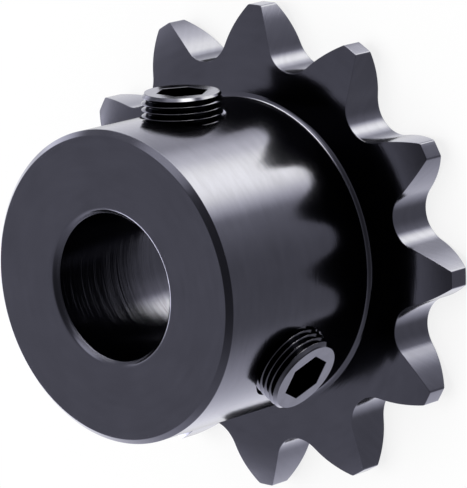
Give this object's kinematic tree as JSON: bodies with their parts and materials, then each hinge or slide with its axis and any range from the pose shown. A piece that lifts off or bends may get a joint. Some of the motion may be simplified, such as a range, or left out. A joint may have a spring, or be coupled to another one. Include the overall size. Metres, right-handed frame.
{
  "type": "chain sprocket",
  "caption": "Small hub sprocket for roller chain, with a plain round bore and radial set screws that stand proud of the hub and clamp it to a shaft.",
  "frame": {"origin": "centre of the bore on the back face of the toothed plate", "axes": "+Z along the bore towards the nose of the hub, +X through the middle of a tooth and along set_screw_1"},
  "size_m": [0.027, 0.027, 0.014],
  "materials": {
    "sprocket_steel": "turned, black oxide, semi-gloss",
    "screw_steel": "black oxide, satin"
  },
  "bodies": {
    "sprocket_body": {"sprocket": "sprocket_steel"},
    "screw_body_1": {"set_screw_1": "screw_steel"},
    "screw_body_2": {"set_screw_2": "screw_steel"}
  },
  "joints": [
    {"name": "set_screw_1_travel", "type": "slide", "parent": "sprocket_body", "child": "screw_body_1", "axis": [1, 0, 0], "range_m": [-0.00168, 0.00124]},
    {"name": "set_screw_2_travel", "type": "slide", "parent": "sprocket_body", "child": "screw_body_2", "axis": [-0.5, -0.866, 0], "range_m": [-0.00168, 0.00124]}
  ]
}
